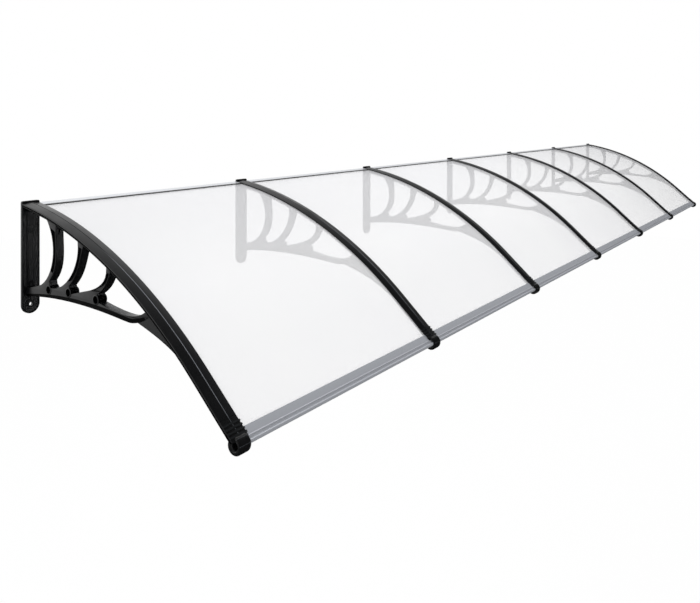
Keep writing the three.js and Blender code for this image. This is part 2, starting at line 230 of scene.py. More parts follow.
def texturedPolypropylene(name, colour, paler, roughness):
    # Black polypropylene moulded in a spark-eroded tool: dull, with a fine grain that scatters light.
    # The real grain is about 0.2 mm; it is drawn at 0.9 mm so that it shows.
    material, tree, shader = startMaterial(name)
    place = addNode(tree, "ShaderNodeTexCoord")
    cloud = addNode(tree, "ShaderNodeTexNoise", {"Scale": 14.0, "Detail": 3.0, "Roughness": 0.6},
                    {"Vector": place.outputs["Object"]})
    grain = addNode(tree, "ShaderNodeTexNoise", {"Scale": 1100.0, "Detail": 2.0},
                    {"Vector": place.outputs["Object"]})
    tint = addNode(tree, "ShaderNodeMix", {"data_type": "RGBA", 6: linear(colour), 7: linear(paler)},
                   {0: cloud.outputs["Fac"]})
    rough = addNode(tree, "ShaderNodeMapRange", {
        "From Min": 0.3, "From Max": 0.7, "To Min": roughness - 0.06, "To Max": roughness + 0.06,
    }, {"Value": cloud.outputs["Fac"]})
    bump = addNode(tree, "ShaderNodeBump", {"Strength": 0.25, "Distance": 0.0002},
                   {"Height": grain.outputs["Fac"]})
    tree.links.new(tint.outputs[2], shader.inputs["Base Color"])
    tree.links.new(rough.outputs[0], shader.inputs["Roughness"])
    tree.links.new(bump.outputs[0], shader.inputs["Normal"])
    shader.inputs["IOR"].default_value = 1.49
    return material


def creaseHighlightAlongRib(material):
    # painted highlight along the crease: as pale as its colour says in front; near the wall and at the rib's
    # front end it turns near black, a painted shade line; its gloss follows the same mask
    tree = material.node_tree
    shader = tree.nodes["Principled BSDF"]
    pale = shader.inputs["Base Color"].links[0].from_socket
    place = addNode(tree, "ShaderNodeTexCoord")
    parts = addNode(tree, "ShaderNodeSeparateXYZ", links={0: place.outputs["Object"]})
    rise = addNode(tree, "ShaderNodeMapRange", {"interpolation_type": "SMOOTHSTEP", "From Min": -0.31,
                                                "From Max": -0.42}, {"Value": parts.outputs["Y"]})
    fall = addNode(tree, "ShaderNodeMapRange", {"interpolation_type": "SMOOTHSTEP", "From Min": -0.86,
                                                "From Max": -0.66}, {"Value": parts.outputs["Y"]})
    share = addNode(tree, "ShaderNodeMath", {"operation": "MULTIPLY"},
                    {0: rise.outputs[0], 1: fall.outputs[0]})
    tint = addNode(tree, "ShaderNodeMix", {"data_type": "RGBA", 6: linear("#020202")},
                   {0: share.outputs[0], 7: pale})
    gloss = addNode(tree, "ShaderNodeMapRange", {"To Min": 0.03, "To Max": 0.6},
                    {"Value": share.outputs[0]})
    tree.links.new(tint.outputs[2], shader.inputs["Base Color"])
    tree.links.new(gloss.outputs[0], shader.inputs["Specular IOR Level"])
    return material


def makePolycarbonate():
    # Milky polycarbonate sheet, extruded: smooth, slightly wavy, lets about half of the light through.
    # It gets painted shade towards the wall: its colour turns greyer there.
    material, tree, shader = startMaterial("milky polycarbonate")
    place = addNode(tree, "ShaderNodeTexCoord")
    cloud = addNode(tree, "ShaderNodeTexNoise", {"Scale": 2.2, "Detail": 1.0},
                    {"Vector": place.outputs["Object"]})
    tint = addNode(tree, "ShaderNodeMix", {"data_type": "RGBA", 6: linear("#f3f3f6"), 7: linear("#fafafa")},
                   {0: cloud.outputs["Fac"]})
    parts = addNode(tree, "ShaderNodeSeparateXYZ", links={0: place.outputs["Object"]})
    # painted shade: greyer towards the wall
    near = addNode(tree, "ShaderNodeMapRange", {"From Min": -0.5, "From Max": 0.0},
                   {"Value": parts.outputs["Y"]})
    grey = addNode(tree, "ShaderNodeMix", {"data_type": "RGBA", 7: linear("#e2e2e5")},
                   {0: near.outputs[0], 6: tint.outputs[2]})
    wave = addNode(tree, "ShaderNodeTexNoise", {"Scale": 6.0, "Detail": 0.0},
                   {"Vector": place.outputs["Object"]})
    bump = addNode(tree, "ShaderNodeBump", {"Strength": 0.1, "Distance": 0.002},
                   {"Height": wave.outputs["Fac"]})
    tree.links.new(grey.outputs[2], shader.inputs["Base Color"])
    tree.links.new(bump.outputs[0], shader.inputs["Normal"])
    shader.inputs["Roughness"].default_value = 0.22
    shader.inputs["IOR"].default_value = 1.58
    shader.inputs["Specular IOR Level"].default_value = 0.2
    shader.inputs["Alpha"].default_value = 0.48
    return material


def anodisedAluminium(name, colour, darker, roughness):
    # Extruded aluminium, satin anodised: grey, half matt from its oxide skin, with die lines along X.
    # Real die lines are a few hundredths of a millimetre apart; they are drawn at 0.8 mm.
    material, tree, shader = startMaterial(name)
    place = addNode(tree, "ShaderNodeTexCoord")
    stretch = addNode(tree, "ShaderNodeMapping", {"Scale": (0.8, 260.0, 260.0)},
                      {"Vector": place.outputs["Object"]})
    lines = addNode(tree, "ShaderNodeTexNoise", {"Scale": 5.0, "Detail": 3.0},
                    {"Vector": stretch.outputs[0]})
    tint = addNode(tree, "ShaderNodeMix", {"data_type": "RGBA", 6: linear(darker), 7: linear(colour)},
                   {0: lines.outputs["Fac"]})
    bump = addNode(tree, "ShaderNodeBump", {"Strength": 0.15, "Distance": 0.0002},
                   {"Height": lines.outputs["Fac"]})
    tree.links.new(tint.outputs[2], shader.inputs["Base Color"])
    tree.links.new(bump.outputs[0], shader.inputs["Normal"])
    shader.inputs["Metallic"].default_value = 0.55
    shader.inputs["Roughness"].default_value = roughness
    return material


bracketPlastic = texturedPolypropylene("bracket polypropylene", "#0a0b0d", "#101113", 0.36)
# painted shade: the step under the arm and the rounds of the bosses get a darker, duller black
shadedPlastic = texturedPolypropylene("painted shade polypropylene", "#020203", "#040405", 0.6)
shadedPlastic.node_tree.nodes["Principled BSDF"].inputs["Specular IOR Level"].default_value = 0.06
# painted highlight on the ribs' crease, with painted shade near the wall
creaseHighlightPlastic = creaseHighlightAlongRib(texturedPolypropylene("painted highlight crease polypropylene", "#6a6d73", "#8b8e94", 0.3))
capPlastic = texturedPolypropylene("end cap polypropylene", "#0c0d0e", "#111214", 0.34)
# painted highlight for the end caps' crease and seam ridges
capHighlightPlastic = texturedPolypropylene("painted highlight end cap polypropylene", "#3c3f44", "#4a4d52", 0.3)
# painted light: the collar ribs are paler than the cap between them
capRibHighlightPlastic = texturedPolypropylene("painted highlight collar rib polypropylene", "#17191b", "#1c1e20", 0.34)
polycarbonate = makePolycarbonate()
frontAluminium = anodisedAluminium("front rail aluminium", "#dde0e7", "#d0d4dc", 0.34)
rearAluminium = anodisedAluminium("rear rail aluminium", "#dcdee2", "#cfd2d8", 0.34)
print("materials made")


# Tools for the pieces. A piece is first built on its own bracket or bay, where x is 0 in its middle.

def roundCorners(outline, reach, steps=3):
    # gives every corner of a closed outline a curve that starts and ends this far from it
    done = []
    for i, corner in enumerate(outline):
        here = Vector(corner)
        before = Vector(outline[i - 1]) - here
        after = Vector(outline[(i + 1) % len(outline)]) - here
        cut = min(reach, 0.45 * before.length, 0.45 * after.length)
        start = here + before.normalized() * cut
        end = here + after.normalized() * cut
        for k in range(steps + 1):
            t = k / steps
            done.append(tuple(start * (1 - t) ** 2 + here * 2 * t * (1 - t) + end * t ** 2))
    return done


def onCircle(centre, radius, angle):
    return (centre[0] + radius * math.cos(angle), centre[1] + radius * math.sin(angle))


def mirrored(half):
    # a half outline in (x, n), bottom to top, closed by its mirror image
    return half + [(-x, n) for x, n in reversed(half) if x > 0]


def addRing(bm, points):
    verts = [bm.verts.new(p) for p in points]
    edges = [bm.edges.new((verts[i - 1], verts[i])) for i in range(len(verts))]
    return verts, edges


def closeUp(bm):
    bmesh.ops.remove_doubles(bm, verts=bm.verts, dist=0.002 * mm)
    bmesh.ops.holes_fill(bm, edges=bm.edges, sides=0)
    bmesh.ops.recalc_face_normals(bm, faces=bm.faces)


def solid(bm, name, materials):
    mesh = bpy.data.meshes.new(name)
    bm.to_mesh(mesh)
    bm.free()
    for material in materials:
        mesh.materials.append(material)
    obj = bpy.data.objects.new(name, mesh)
    bpy.context.scene.collection.objects.link(obj)
    return obj


def sweepRoof(section, fromY, toY):
    # a solid with this section of (x, n) points along the roof line
    bm = bmesh.new()
    verts, edges = addRing(bm, [(x, *roofPoint(fromY, n)) for x, n in section])
    turn = slopeAt(toY) - slopeAt(fromY)
    if turn > 1e-6:
        steps = max(2, round(roof["steps"] * turn))
        spun = bmesh.ops.spin(bm, geom=verts + edges, cent=(0, centreY, centreZ), axis=(1, 0, 0),
                              angle=turn, steps=steps, use_merge=False, use_duplicate=False)
        edges = [e for e in spun["geom_last"] if isinstance(e, bmesh.types.BMEdge)]
    straight = (min(fromY, arcEndY) - toY) / math.cos(roof["slopeAtFront"])
    if straight > 0:
        grown = bmesh.ops.extrude_edge_only(bm, edges=edges)
        moved = [v for v in grown["geom"] if isinstance(v, bmesh.types.BMVert)]
        ahead = Vector((0, -math.cos(roof["slopeAtFront"]), -math.sin(roof["slopeAtFront"])))
        bmesh.ops.translate(bm, verts=moved, vec=ahead * straight)
    closeUp(bm)
    return bm


def acrossX(outline, width):
    # a solid with this outline in (y, z), as wide as said along X
    bm = bmesh.new()
    verts, edges = addRing(bm, [(-width / 2, y, z) for y, z in outline])
    grown = bmesh.ops.extrude_edge_only(bm, edges=edges)
    moved = [v for v in grown["geom"] if isinstance(v, bmesh.types.BMVert)]
    bmesh.ops.translate(bm, verts=moved, vec=(width, 0, 0))
    closeUp(bm)
    return bm


def turned(profile, y, z, steps=40):
    # a solid of revolution about an axis along X, from (x, radius) points that start and end on the axis
    bm = bmesh.new()
    verts = [bm.verts.new((x, y, z + r)) for x, r in profile]
    edges = [bm.edges.new((verts[i], verts[i + 1])) for i in range(len(verts) - 1)]
    bmesh.ops.spin(bm, geom=verts + edges, cent=(0, y, z), axis=(1, 0, 0), angle=2 * math.pi,
                   steps=steps, use_merge=True, use_duplicate=False)
    closeUp(bm)
    return bm


def flatShape(name, loops, thickness, edge, materials):
    # A plate drawn in (y, z) and as thick as said along X, its edges rounded. The first loop is its outline,
    # the others are openings. A loop is a list of sides: one point for a straight side, three for a curve.
    curve = bpy.data.curves.new(name, "CURVE")
    curve.dimensions = "2D"
    curve.fill_mode = "BOTH"
    curve.resolution_u = 14
    curve.extrude = thickness / 2 - edge
    curve.bevel_depth = edge
    curve.bevel_resolution = 2
    curve.offset = -edge
    for sides in loops:
        spline = curve.splines.new("BEZIER")
        spline.use_cyclic_u = True
        spline.bezier_points.add(len(sides) - 1)
        for i, side in enumerate(sides):
            following = sides[(i + 1) % len(sides)]
            knot = spline.bezier_points[i]
            knot.co = (*side[-1], 0)
            knot.handle_left_type = "FREE" if len(side) == 3 else "VECTOR"
            knot.handle_right_type = "FREE" if len(following) == 3 else "VECTOR"
            if len(side) == 3:
                knot.handle_left = (*side[1], 0)
            if len(following) == 3:
                knot.handle_right = (*following[0], 0)
    drawn = bpy.data.objects.new(name, curve)
    bpy.context.scene.collection.objects.link(drawn)
    bpy.context.view_layer.update()
    mesh = bpy.data.meshes.new_from_object(drawn.evaluated_get(bpy.context.evaluated_depsgraph_get()))
    bpy.data.objects.remove(drawn)
    mesh.transform(Matrix(((0, 0, 1, 0), (1, 0, 0, 0), (0, 1, 0, 0), (0, 0, 0, 1))))
    bm = bmesh.new()
    bm.from_mesh(mesh)
    closeUp(bm)
    bpy.data.meshes.remove(mesh)
    return solid(bm, name, materials)


def boolean(base, others, operation):
    # joins the others to the base or cuts them from it, and removes them
    for other in others:
        modifier = base.modifiers.new(operation.lower(), "BOOLEAN")
        modifier.object = other
        modifier.operation = operation
        modifier.solver = "EXACT"
    bpy.context.view_layer.update()
    mesh = bpy.data.meshes.new_from_object(base.evaluated_get(bpy.context.evaluated_depsgraph_get()))
    base.modifiers.clear()
    base.data = mesh
    for other in others:
        bpy.data.objects.remove(other)


def finishMesh(obj, sharpDegrees=28, tiny=0.02 * mm):
    # takes away slivers that the cuts leave, and smooths what is not an edge
    bm = bmesh.new()
    bm.from_mesh(obj.data)
    bmesh.ops.remove_doubles(bm, verts=bm.verts, dist=tiny)
    bmesh.ops.dissolve_degenerate(bm, edges=bm.edges, dist=tiny / 2)
    bm.to_mesh(obj.data)
    bm.free()
    for polygon in obj.data.polygons:
        polygon.use_smooth = True
    obj.data.set_sharp_from_angle(angle=math.radians(sharpDegrees))


def putCopies(template, kind, count):
    # one piece for each CAD node of this kind
    for i in range(1, count + 1):
        node = f"{kind}_{i}"
        low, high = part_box(node)
        mesh = template.data.copy()
        mesh.name = f"{node}_seen"
        mesh.transform(Matrix.Translation(((low[0] + high[0]) / 2, 0, 0)))
        piece = bpy.data.objects.new(f"{node}_seen", mesh)
        bpy.context.scene.collection.objects.link(piece)
        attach(piece, "root")
        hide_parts(node)
    bpy.data.objects.remove(template)
    print(count, "pieces for", kind)


# Brackets

rib = {
    "capHalf": 23.9 * mm,
    "capBottom": 0.3 * mm,
    "capCorner": (23.3 * mm, 3.5 * mm),
    "crease": (1.0 * mm, 6.2 * mm),
    "creaseTop": 5.5 * mm,
    "flangeHalf": 23.2 * mm,
    "flangeUnder": 21.6 * mm,
    "flangeTop": -3.3 * mm,
    "flangeBottom": -6.7 * mm,
    "webHalf": 4 * mm,
    "stiffenerBottom": -18.7 * mm,
    "edge": 0.6 * mm,
    "taper": 0.045,
    "taperDepth": 400 * mm,
    "paintHalf": 1.1 * mm,    # holds the crease where the rib is widest
    "paintNormal": 0.3,       # faces turned up more than this are painted
}


def ribSection():
    web = rib["webHalf"]
    half = [
        (web, rib["stiffenerBottom"]),
        (web, rib["flangeBottom"]),
        (rib["flangeUnder"], rib["flangeBottom"]),
        (rib["flangeHalf"], rib["flangeTop"]),
        (web, rib["flangeTop"]),
        (web, rib["capBottom"]),
        (rib["capHalf"], rib["capBottom"]),
        rib["capCorner"],
        rib["crease"],
        (0, rib["creaseTop"]),
    ]
    return roundCorners(mirrored(half), rib["edge"])


def taperRib(obj):
    # the rib is a little wider near the wall
    for vertex in obj.data.vertices:
        vertex.co.x *= 1 + rib["taper"] * max(0.0, 1 + vertex.co.y / rib["taperDepth"])


def narrowArmEnd(obj):
    # the arm runs out narrower where it turns up into the rib
    for vertex in obj.data.vertices:
        along = min(1.0, max(0.0, (-frameShape["narrowFrom"] - vertex.co.y) / frameShape["narrowOver"]))
        vertex.co.x *= 1 - frameShape["narrowBy"] * along * along * (3 - 2 * along)


def paintCrease(obj):
    # the narrow bead along the ridge takes the painted highlight material
    for polygon in obj.data.polygons:
        onRidge = max(abs(obj.data.vertices[i].co.x) for i in polygon.vertices) < rib["paintHalf"]
        if onRidge and polygon.normal.z > rib["paintNormal"]:
            polygon.material_index = 1


def below(y, drop):
    # a point under the roof line, in metres, from its place y and its drop in millimetres
    return (y * mm, roofPoint(y * mm)[1] - drop * mm)


def curveBelow(*points):
    return [below(y, drop) for y, drop in points]


frameShape = {
    "width": 23 * mm,
    "edge": 0.9 * mm,
    "inFlange": -3.5 * mm,
    "flangeSteps": 20,
    "openingTop": -5.6 * mm,
    "start": -4,                               # inside the wall plate, of the rib too
    "roofEnd": -533,
    "narrowFrom": 420 * mm,
    "narrowOver": 100 * mm,
    "narrowBy": 0.72,
    "rebateDepth": 0.8 * mm,
    "rebateHeights": (6.5 * mm, 12 * mm),    # at both ends and where it is highest
    "rebateHighest": 0.7,                      # power that puts the highest place in front
    "rebateTurn": (0.45, 0.6, 0.75, 0.9),      # shares of the turn, where it starts
    "rebateSteps": 16,                         # along the arm
    "rebateOver": 0.5 * mm,                    # how far the cut goes past the side
    "rebateUnder": 1 * mm,                     # and past the lower edge
    "turn": ((-510, 35.2), (-485, 69.5), (-450, 90.5)),
    "underside": ((-330, 137), (-160, 190), (-4, 248.3)),
}
openings = [
    # rear and front corner on the rib, the strut in front, its foot, and the front face of the strut behind
    {"rear": -8, "front": -95, "strut": ((-166, 58.8), (-128, 167.2), (-65, 200.5)),
     "foot": (-8, 224.5), "back": None},
    {"rear": -150, "front": -241, "strut": ((-263, 61.7), (-192, 171), (-119, 186.5)),
     "foot": (-116, 170), "back": ((-170.5, 104), (-135.6, 55.4))},
    {"rear": -276, "front": -361, "strut": ((-380, 67.3), (-274, 122.7), (-214, 162)),
     "foot": (-205, 146), "back": ((-256.3, 87.5), (-252.4, 37.1))},
    {"rear": -384, "front": -517, "strut": ((-486, 54), (-458, 80.5), (-330, 121.5)),
     "foot": (-325, 105), "back": ((-360, 69), (-370.4, 44.3))},
]
hollows = [
    {"rear": -95, "front": -168, "tip": (-141, 42)},
    {"rear": -241, "front": -293, "tip": (-255, 32)},
    {"rear": -361, "front": -401, "tip": (-376, 22)},
]
hollowSize = {"width": 17 * mm, "wall": 5}
pocket = {
    # of its strut's rear and front edge, as shares from top to bottom
    "rear": (0.12, 0.64),
    "front": (0.18, 0.86),
    "rim": 2.2 * mm,
    "depth": 7 * mm,
    "steps": 14,
}
bosses = {
    "places": ((-113, 194), (-203, 163.2), (-320, 120.2)),
    "outer": 12.4 * mm,
    "bore": 9.8 * mm,
    "boreDepth": 9 * mm,
    "halfWidth": 12.5 * mm,
    "edge": 0.8 * mm,
    "edgeMiddle": 0.3,    # how far in the rounded edge's middle is, as a share
    "endNormal": 0.3,     # faces turned more than this to an end look like the frame
    "holeOver": 0.5 * mm,
    "holeSteps": 37,      # not a divisor of the drums' steps, so that no edges meet exactly
}
gusset = {
    "width": 6 * mm,
    "start": (-466, 78),
    "underside": ((-542, 51), (-598, 29), (-650, 27)),
    "inRib": (-640, -526),
    "edge": 0.5 * mm,
}


def frameLoops():
    steps = frameShape["flangeSteps"]
    flangeEdge = [[roofPoint(frameShape["roofEnd"] * mm * k / steps, frameShape["inFlange"])]
                  for k in range(1, steps + 1)]
    rear = frameShape["start"] * mm
    start = [(rear, roofPoint(rear, frameShape["inFlange"])[1])]
    loops = [[start, *flangeEdge, curveBelow(*frameShape["turn"]), curveBelow(*frameShape["underside"])]]
    for opening in openings:
        top = frameShape["openingTop"]
        rear, middle, front = [
            roofPoint((opening["rear"] + (opening["front"] - opening["rear"]) * part) * mm, top)
            for part in (0, 0.5, 1)
        ]
        sides = [[middle], [front], curveBelow(*opening["strut"]), [below(*opening["foot"])]]
        if opening["back"]:
            sides.append([*curveBelow(*opening["back"]), rear])
        else:
            sides.append([rear])
        loops.append(sides)
    return loops


def makeHollow(hollow):
    # a three-cornered pocket in the front face of a strut, where it spreads out under the rib
    start = roofPoint((hollow["rear"] - hollowSize["wall"]) * mm, rib["flangeBottom"])
    end = roofPoint(hollow["front"] * mm, rib["flangeBottom"])
    tip = below(*hollow["tip"])
    half = hollowSize["width"] / 2
    bm = bmesh.new()
    corners = [bm.verts.new(p) for p in (
        (-half, start[0], start[1]), (half, start[0], start[1]),
        (half, end[0], start[1]), (-half, end[0], start[1]),
        (0, tip[0], tip[1]), (0, end[0], tip[1]))]
    for face in ((0, 3, 2, 1), (0, 4, 5, 3), (1, 2, 5, 4), (0, 1, 4), (3, 5, 2)):
        bm.faces.new([corners[i] for i in face])
    bmesh.ops.recalc_face_normals(bm, faces=bm.faces)
    return solid(bm, "hollow", bracketMaterials)


def makeRebate(side):
    # a shallow step along the lower edge of the arm's side, highest behind the turn
    curve = [below(*frameShape["turn"][2]), *curveBelow(*frameShape["underside"])]
    turn = [roofPoint(frameShape["roofEnd"] * mm, frameShape["inFlange"]), *curveBelow(*frameShape["turn"])]
    steps = frameShape["rebateSteps"]
    places = [onCurve(turn, share) for share in frameShape["rebateTurn"]]
    places += [onCurve(curve, k / steps) for k in range(steps + 1)]
    outer = side * (frameShape["width"] / 2 + frameShape["rebateOver"])
    inner = side * (frameShape["width"] / 2 - frameShape["rebateDepth"])
    bm = bmesh.new()
    rings = []
    for i, place in enumerate(places):
        ahead = places[min(i + 1, len(places) - 1)] - places[max(i - 1, 0)]
        up = Vector((-ahead.y, ahead.x)).normalized()
        if up.y < 0:
            up = -up
        share = i / (len(places) - 1)
        rise = math.sin(math.pi * share ** frameShape["rebateHighest"])
        high = frameShape["rebateHeights"][0] * (1 - rise) + frameShape["rebateHeights"][1] * rise
        top = place + up * high
        low = place - up * frameShape["rebateUnder"]
        corners = ((outer, top), (outer, low), (inner, low), (inner, top))
        rings.append([bm.verts.new((x, *p)) for x, p in corners])
    for one, two in zip(rings, rings[1:]):
        for k in range(4):
            bm.faces.new((one[k], one[(k + 1) % 4], two[(k + 1) % 4], two[k]))
    closeUp(bm)
    step = solid(bm, "rebate", bracketMaterials)
    # the step's faces take the painted shade material
    for polygon in step.data.polygons:
        polygon.material_index = 2
    return step


def onCurve(points, share):
    a, b, c, d = [Vector(point) for point in points]
    rest = 1 - share
    return a * rest ** 3 + b * 3 * rest ** 2 * share + c * 3 * rest * share ** 2 + d * share ** 3


def makePockets():
    # recesses in both sides of each strut, inside a narrow rim
    cutters = []
    top = frameShape["openingTop"]
    for ahead, behind in zip(openings[1:], openings):
        rear = [roofPoint(behind["front"] * mm, top), *curveBelow(*behind["strut"])]
        front = [roofPoint(ahead["rear"] * mm, top), *curveBelow(*ahead["back"][::-1]),
                 below(*ahead["foot"])]
        sides = ([], [])
        for k in range(pocket["steps"] + 1):
            share = k / pocket["steps"]
            a = onCurve(rear, pocket["rear"][0] + (pocket["rear"][1] - pocket["rear"][0]) * share)
            b = onCurve(front, pocket["front"][0] + (pocket["front"][1] - pocket["front"][0]) * share)
            inward = (b - a).normalized() * pocket["rim"]
            sides[0].append(tuple(a + inward))
            sides[1].append(tuple(b - inward))
        loop = sides[0] + sides[1][::-1]
        for side in (-1, 1):
            cutter = acrossX(loop, 2 * pocket["depth"])
            bmesh.ops.translate(cutter, verts=cutter.verts, vec=(side * frameShape["width"] / 2, 0, 0))
            cutters.append(solid(cutter, "pocket", bracketMaterials))
    return cutters


def makeBossHoles():
    # holes in both sides of the frame, a little wider than the bosses' bores and hidden by their walls
    holes = []
    radius = (bosses["outer"] + bosses["bore"]) / 2
    inner = bosses["halfWidth"] - bosses["boreDepth"] - bosses["holeOver"]
    outer = 2 * bosses["halfWidth"]
    half = ((inner, 0), (inner, radius), (outer, radius), (outer, 0))
    for place in bosses["places"]:
        for side in (-1, 1):
            profile = [(side * x, r) for x, r in half]
            hole = turned(profile, *below(*place), steps=bosses["holeSteps"])
            holes.append(solid(hole, "hole", bracketMaterials))
    return holes


def makeBosses():
    # short drums at the struts' feet, bored from both ends
    end = bosses["halfWidth"]
    floor = end - bosses["boreDepth"]
    outer = bosses["outer"]
    edge = bosses["edge"]
    middle = edge * bosses["edgeMiddle"]
    half = [(floor, 0), (floor, bosses["bore"]), (end, bosses["bore"]), (end, outer - edge),
            (end - middle, outer - middle), (end - edge, outer)]
    profile = [(-x, r) for x, r in half] + half[::-1]
    drums = []
    for place in bosses["places"]:
        drum = solid(turned(profile, *below(*place)), "boss", bracketMaterials)
        # the drums' round sides take the painted shade material, their ends look like the frame
        for polygon in drum.data.polygons:
            polygon.material_index = 0 if abs(polygon.normal.x) > bosses["endNormal"] else 2
        drums.append(drum)
    return drums


plate = {
    "height": 305 * mm,
    "width": 50 * mm,
    "thickness": 8 * mm,
    "corner": 5 * mm,
    "rim": 4 * mm,
    "recess": 2 * mm,
    "ribWidth": 3 * mm,
    "ribSpacing": 14 * mm,
    "ribLength": 130 * mm,
    "lowerHole": 5 * mm,
    "upperHole": 3.8 * mm,
    "pad": 9.5 * mm,
    "upperHoleFromTop": 78 * mm,
    "edge": 0.6 * mm,
    "footSteps": 24,
    "discSteps": 32,
}


def plateOutline(inset):
    # round at the foot, nearly square at the top, in (x, z)
    half = plate["width"] / 2 - inset
    top = plate["height"] / 2 - inset
    footZ = -plate["height"] / 2 + plate["width"] / 2
    steps = plate["footSteps"]
    foot = [onCircle((0, footZ), half, math.pi + math.pi * k / steps) for k in range(steps + 1)]
    corners = roundCorners([(-half, footZ), foot[steps // 2], (half, footZ), (half, top), (-half, top)],
                           plate["corner"] - inset / 2)
    return foot + [p for p in corners if p[1] > footZ + half / 2]


def fromWall(outline, fromY, toY, name):
    bm = bmesh.new()
    verts, edges = addRing(bm, [(x, fromY, z) for x, z in outline])
    grown = bmesh.ops.extrude_edge_only(bm, edges=edges)
    moved = [v for v in grown["geom"] if isinstance(v, bmesh.types.BMVert)]
    bmesh.ops.translate(bm, verts=moved, vec=(0, toY - fromY, 0))
    closeUp(bm)
    rims = [e for e in bm.edges if e.calc_face_angle(0) > math.radians(60)]
    bmesh.ops.bevel(bm, geom=rims, offset=plate["edge"], offset_type="OFFSET", segments=2, profile=0.5,
                    affect="EDGES", material=-1, clamp_overlap=True)
    return solid(bm, name, bracketMaterials)


def disc(radius, fromY, toY, z, name):
    steps = plate["discSteps"]
    outline = [onCircle((0, z), radius, 2 * math.pi * k / steps) for k in range(steps)]
    return fromWall(outline, fromY, toY, name)


def box(low, high, name):
    outline = [(low[0], low[2]), (high[0], low[2]), (high[0], high[2]), (low[0], high[2])]
    return fromWall(outline, low[1], high[1], name)


def makePlate():
    deep = -plate["thickness"]
    floor = deep + plate["recess"]
    body = fromWall(plateOutline(0), 0, deep, "wall plate")
    recess = fromWall(plateOutline(plate["rim"]), floor, 2 * deep, "recess")
    lowerHole = -plate["height"] / 2 + plate["width"] / 2
    upperHole = plate["height"] / 2 - plate["upperHoleFromTop"]
    boolean(body, [recess], "DIFFERENCE")
    raised = [disc(plate["pad"], deep / 2, deep, z, "screw pad") for z in (lowerHole, upperHole)]
    half = plate["ribLength"] / 2
    for side in (-1, 1):
        x = side * plate["ribSpacing"] / 2
        low = (x - plate["ribWidth"] / 2, deep / 2, -half)
        high = (x + plate["ribWidth"] / 2, deep, half)
        raised.append(box(low, high, "rib"))
    boolean(body, raised, "UNION")
    holes = [(plate["lowerHole"], lowerHole), (plate["upperHole"], upperHole)]
    boolean(body, [disc(radius, -2 * deep, 2 * deep, z, "hole") for radius, z in holes], "DIFFERENCE")
    return body


def makeBracket():
    sweep = sweepRoof(ribSection(), frameShape["start"] * mm, -roof["ribEnd"])
    body = solid(sweep, "rib", bracketMaterials)
    taperRib(body)
    paintCrease(body)
    frameBody = flatShape("frame", frameLoops(), frameShape["width"], frameShape["edge"], bracketMaterials)
    boolean(frameBody, [makeRebate(-1), makeRebate(1)], "DIFFERENCE")
    boolean(frameBody, [makeHollow(hollow) for hollow in hollows] + makePockets(), "DIFFERENCE")
    boolean(frameBody, makeBossHoles(), "DIFFERENCE")
    narrowArmEnd(frameBody)
    web = [[roofPoint(y * mm, frameShape["inFlange"])] for y in gusset["inRib"]]
    gussetBody = flatShape("gusset", [[[below(*gusset["start"])], curveBelow(*gusset["underside"]), *web]],
                           gusset["width"], gusset["edge"], bracketMaterials)
    boolean(body, [makePlate(), frameBody, gussetBody, *makeBosses()], "UNION")
    finishMesh(body)
    return body


bracketMaterials = [bracketPlastic, creaseHighlightPlastic, shadedPlastic]
putCopies(makeBracket(), "bracket", bays + 1)


# Rails and sheets, drawn in the slope frame at the rail's upper edge

rail = {
    "band": 21 * mm,
    "skin": 1.2 * mm,
    "ridge": 1.2 * mm,
    "groove": 3.5 * mm,
    "beadRadius": 8.5 * mm,
    "beadArc": (200, 220),    # where its arc starts and how far it goes, in degrees
    "beadSteps": 32,
    "beadFromEdge": 27.5 * mm,
    "beadBelowSheet": 5 * mm,
    "sheetIn": 16 * mm,
    "web": 8 * mm,
    "edge": 0.35 * mm,
}
railFrame = slopeFrame(-roof["railDepth"])
bandTop = fitGap + rail["skin"]
bandBottom = -roof["sheet"] - fitGap - rail["skin"]
bead = (rail["beadFromEdge"], -rail["beadBelowSheet"])


def frontRailOutline():
    end = rail["sheetIn"] + fitGap
    under = -roof["sheet"] - fitGap
    points = [
        (0, fitGap), (end, fitGap), (end, under), (rail["skin"], under), (rail["skin"], bandBottom),
        (rail["band"] - rail["skin"], bandBottom),
    ]
    first, turn = rail["beadArc"]
    for k in range(rail["beadSteps"] + 1):
        angle = math.radians(first + turn * k / rail["beadSteps"])
        points.append(onCircle(bead, rail["beadRadius"], angle))
    points += [
        (bead[0] + rail["skin"], bandTop - rail["skin"]),
        (bead[0] - rail["groove"], bandTop - rail["skin"]),
        (rail["band"] + rail["ridge"] / 2, bandTop + rail["ridge"]),
        (rail["band"] - rail["ridge"], bandTop),
        (0, bandTop),
    ]
    return [railFrame(s, n) for s, n in roundCorners(points, rail["edge"])]


def makeFrontRail():
    length = bayWidth - rail["web"] - 2 * fitGap
    piece = solid(acrossX(frontRailOutline(), length), "front rail", [frontAluminium])
    finishMesh(piece)
    return piece


def makeSheet():
    rear = -plate["thickness"] - fitGap - roof["sheet"] * math.sin(roof["slopeAtWall"])
    front = railFrame(rail["sheetIn"], 0)[0]
    half = (bayWidth - rail["web"] - 2 * fitGap) / 2
    corners = [(-half, -roof["sheet"]), (half, -roof["sheet"]), (half, 0), (-half, 0)]
    section = roundCorners(corners, roof["sheetEdge"])
    piece = solid(sweepRoof(section, rear, front), "sheet", [polycarbonate])
    finishMesh(piece)
    return piece


rearRail = {
    "band": 26 * mm,
    "lip": 14 * mm,
    "skin": 1.6 * mm,
    "edge": 0.4 * mm,
    "shadowStripHeight": 2.3 * mm,
    "shadowStripDepth": 8 * mm,
    "shadowStripIn": 0.4 * mm,    # behind the band's front edge
    "shadowStripEdge": 0.8 * mm,
}


